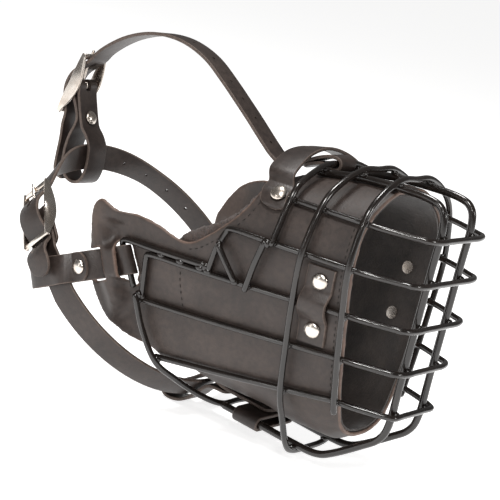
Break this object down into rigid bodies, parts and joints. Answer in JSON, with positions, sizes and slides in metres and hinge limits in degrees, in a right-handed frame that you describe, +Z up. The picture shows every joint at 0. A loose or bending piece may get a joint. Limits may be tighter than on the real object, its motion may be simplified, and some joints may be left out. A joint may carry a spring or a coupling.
{
  "type": "basket muzzle",
  "caption": "Large dog's wire basket muzzle with a leather liner, a neck strap, a forehead strap, cheek bands and a throat loop.",
  "frame": {"origin": "middle of the leather liner's front rim, on the mid-plane", "axes": "+Z up with the muzzle worn level, +Y back from the nose towards the neck, +X to the dog's left"},
  "size_m": [0.2217, 0.3668, 0.2652],
  "materials": {
    "coated_wire": "gloss black coating over welded wire",
    "liner_leather": "smooth dark leather with raw edges",
    "suede": "brown suede",
    "felt": "rough felt",
    "strap_leather": "satin dark strap leather",
    "nickel": "warm nickel plate"
  },
  "bodies": {
    "basket": {"loop_wire_1": "coated_wire", "loop_wire_2": "coated_wire", "loop_wire_3": "coated_wire", "loop_wire_4": "coated_wire", "loop_wire_5": "coated_wire", "long_bar_near": "coated_wire", "long_bar_far": "coated_wire", "hoop_front": "coated_wire", "hoop_middle": "coated_wire", "hoop_rear": "coated_wire", "side_strut_near": "coated_wire", "side_strut_far": "coated_wire", "rim_wire": "coated_wire", "eye_wire_near": "coated_wire", "brace_near": "coated_wire", "eye_wire_far": "coated_wire", "brace_far": "coated_wire", "leather_liner": "liner_leather", "suede_lining": "suede", "nose_pad": "felt", "side_tab_near": "strap_leather", "side_tab_far": "strap_leather", "nose_keeper": "strap_leather", "forehead_strap": "strap_leather", "slide_loop": "strap_leather", "cheek_band_near": "strap_leather", "cheek_band_far": "strap_leather", "jaw_wrap": "strap_leather", "throat_loop": "strap_leather", "tab_rivet_high_near": "nickel", "tab_rivet_low_near": "nickel", "tab_rivet_high_far": "nickel", "tab_rivet_low_far": "nickel", "keeper_rivet_near": "nickel", "keeper_rivet_far": "nickel", "slide_rivet": "nickel", "cheek_rivet_near": "nickel", "cheek_rivet_far": "nickel", "throat_rivet": "nickel"},
    "neck_strap": {"neck_strap": "strap_leather"},
    "near_buckle": {"near_buckle": "nickel"},
    "near_prong": {"near_prong": "nickel"},
    "top_buckle": {"top_buckle": "nickel"},
    "top_prong": {"top_prong": "nickel"}
  },
  "joints": [
    {"name": "neck_strap_slide", "type": "hinge", "parent": "basket", "child": "neck_strap", "pos_m": [0, 0.2146, -0.045], "axis": [0, -0.6626, 0.749], "range_deg": [-1, 1]},
    {"name": "near_buckle_rock", "type": "hinge", "parent": "neck_strap", "child": "near_buckle", "pos_m": [-0.08833, 0.2528, -0.01121], "axis": [0, -0.6626, 0.749], "range_deg": [-2, 2]},
    {"name": "near_prong_lift", "type": "hinge", "parent": "near_buckle", "child": "near_prong", "pos_m": [-0.08833, 0.2528, -0.01121], "axis": [0, -0.6626, 0.749], "range_deg": [0, 36]},
    {"name": "top_buckle_rock", "type": "hinge", "parent": "basket", "child": "top_buckle", "pos_m": [0, 0.3124, 0.0747], "axis": [-1, 0, 0], "range_deg": [-2, 2]},
    {"name": "top_prong_lift", "type": "hinge", "parent": "top_buckle", "child": "top_prong", "pos_m": [0, 0.3124, 0.0747], "axis": [-1, 0, 0], "range_deg": [0, 36]}
  ]
}
